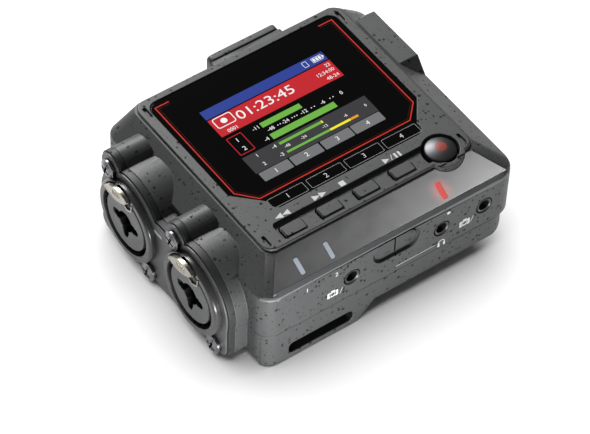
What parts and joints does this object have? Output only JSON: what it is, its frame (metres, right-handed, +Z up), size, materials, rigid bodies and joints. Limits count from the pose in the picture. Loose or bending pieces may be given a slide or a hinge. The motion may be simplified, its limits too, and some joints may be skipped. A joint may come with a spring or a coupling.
{
  "type": "portable field recorder",
  "caption": "Compact two-channel audio recorder with sloped casing, colour display, soft keys, domed record button, side combo sockets, front jacks and underside battery bay.",
  "frame": {"origin": "on the tripod thread's axis, in the plane that the recorder stands on", "axes": "+X to the operator's right, away from the side sockets; +Y from the front wall with the jacks to the rear wall; +Z up, out of the control panel"},
  "size_m": [0.0942, 0.0798, 0.0342],
  "materials": {
    "case_plastic": "dark grey moulding with fine black flecks, lightly textured",
    "strip_plastic": "smooth satin dark grey",
    "window_glass": "black backed glossy window with a printed red line",
    "panel_black": "display module, lit picture on its face",
    "holder_plastic": "white display tray",
    "board_green": "circuit board with green solder mask",
    "rubber_mat": "moulded silicone domes",
    "rubber_foot": "stick-on rubber pads",
    "key_plastic": "satin grey key caps",
    "button_metal": "satin dome with a red dot",
    "switch_metal": "pressed steel switch shells",
    "jack_plastic": "black moulded jack body",
    "light_pale": "frosted light guide, unlit",
    "light_red": "light guide, lit red",
    "collar_metal": "satin dark collar with black inside",
    "insert_plastic": "grey socket insert",
    "latch_nickel": "nickel plated spring steel",
    "contact_gold": "gold plated contacts",
    "plate_plastic": "smooth grey connector plate",
    "band_plastic": "dark flecked band behind the plate",
    "screw_black": "black nickel screws with cross recess",
    "screw_steel": "zinc plated case screws",
    "cell_wrap": "wrapped dry cell with a plain band",
    "contact_steel": "tinned sheet steel",
    "card_plastic": "black memory card",
    "insert_brass": "turned brass threaded insert"
  },
  "bodies": {
    "recorder": {"upper_case": "case_plastic", "lower_case": "case_plastic", "indicator_strip": "strip_plastic", "display_window": "window_glass", "display_module": "panel_black", "display_holder": "holder_plastic", "main_board": "board_green", "input_board": "board_green", "key_mat": "rubber_mat", "record_switch": "switch_metal", "volume_switches": "switch_metal", "camera_in_jack": "jack_plastic", "headphone_jack": "jack_plastic", "line_out_jack": "jack_plastic", "peak_lights": "light_pale", "record_light": "light_red", "socket_shell_front": "collar_metal", "socket_shell_rear": "collar_metal", "socket_insert_front": "insert_plastic", "socket_insert_rear": "insert_plastic", "latch_springs": "latch_nickel", "socket_contacts": "contact_gold", "connector_plate": "plate_plastic", "connector_band": "band_plastic", "flange_screws": "screw_black", "case_screws": "screw_steel", "battery_left": "cell_wrap", "battery_right": "cell_wrap", "battery_plate": "contact_steel", "battery_springs": "contact_steel", "usb_socket": "contact_steel", "card_socket": "contact_steel", "power_switch": "switch_metal", "adapter_socket": "jack_plastic", "tripod_insert": "insert_brass", "rubber_pads": "rubber_foot", "shield_can": "contact_steel"},
    "rewind_key": {"key_rewind": "key_plastic"},
    "forward_key": {"key_forward": "key_plastic"},
    "stop_key": {"key_stop": "key_plastic"},
    "play_key": {"key_play": "key_plastic"},
    "record_key": {"record_button": "button_metal"},
    "volume_down_key": {"volume_down": "key_plastic"},
    "volume_up_key": {"volume_up": "key_plastic"},
    "front_latch": {"socket_latch_front": "latch_nickel"},
    "rear_latch": {"socket_latch_rear": "latch_nickel"},
    "battery_lid": {"battery_door": "case_plastic"},
    "card": {"memory_card": "card_plastic"},
    "power_knob": {"power_slider": "key_plastic"},
    "accessory_cover": {"rear_cover": "case_plastic"}
  },
  "joints": [
    {"name": "rewind_press", "type": "slide", "parent": "recorder", "child": "rewind_key", "axis": [0, 0, -1], "range_m": [0, 0.0006], "stiffness_N_per_m": 300, "springref_m": -0.0006},
    {"name": "forward_press", "type": "slide", "parent": "recorder", "child": "forward_key", "axis": [0, 0, -1], "range_m": [0, 0.0006], "stiffness_N_per_m": 300, "springref_m": -0.0006},
    {"name": "stop_press", "type": "slide", "parent": "recorder", "child": "stop_key", "axis": [0, 0, -1], "range_m": [0, 0.0006], "stiffness_N_per_m": 300, "springref_m": -0.0006},
    {"name": "play_press", "type": "slide", "parent": "recorder", "child": "play_key", "axis": [0, 0, -1], "range_m": [0, 0.0006], "stiffness_N_per_m": 300, "springref_m": -0.0006},
    {"name": "record_press", "type": "slide", "parent": "recorder", "child": "record_key", "axis": [0, 0, -1], "range_m": [0, 0.0006], "stiffness_N_per_m": 400, "springref_m": -0.0006},
    {"name": "volume_down_press", "type": "slide", "parent": "recorder", "child": "volume_down_key", "axis": [0, 1, 0], "range_m": [0, 0.0005], "stiffness_N_per_m": 300, "springref_m": -0.0006},
    {"name": "volume_up_press", "type": "slide", "parent": "recorder", "child": "volume_up_key", "axis": [0, 1, 0], "range_m": [0, 0.0005], "stiffness_N_per_m": 300, "springref_m": -0.0006},
    {"name": "front_latch_press", "type": "slide", "parent": "recorder", "child": "front_latch", "axis": [1, 0, 0], "range_m": [0, 0.0012], "stiffness_N_per_m": 600, "springref_m": -0.0008},
    {"name": "rear_latch_press", "type": "slide", "parent": "recorder", "child": "rear_latch", "axis": [1, 0, 0], "range_m": [0, 0.0012], "stiffness_N_per_m": 600, "springref_m": -0.0008},
    {"name": "battery_door_hinge", "type": "hinge", "parent": "recorder", "child": "battery_lid", "pos_m": [0.03285, 0.0295, 0.0064], "axis": [1, 0, 0], "range_deg": [0, 95]},
    {"name": "card_slide", "type": "slide", "parent": "recorder", "child": "card", "axis": [1, 0, 0], "range_m": [0, 0.012]},
    {"name": "power_slide", "type": "slide", "parent": "recorder", "child": "power_knob", "axis": [0, 1, 0], "range_m": [0, 0.003]},
    {"name": "cover_pull", "type": "slide", "parent": "recorder", "child": "accessory_cover", "axis": [0, 1, 0], "range_m": [0, 0.012]}
  ]
}
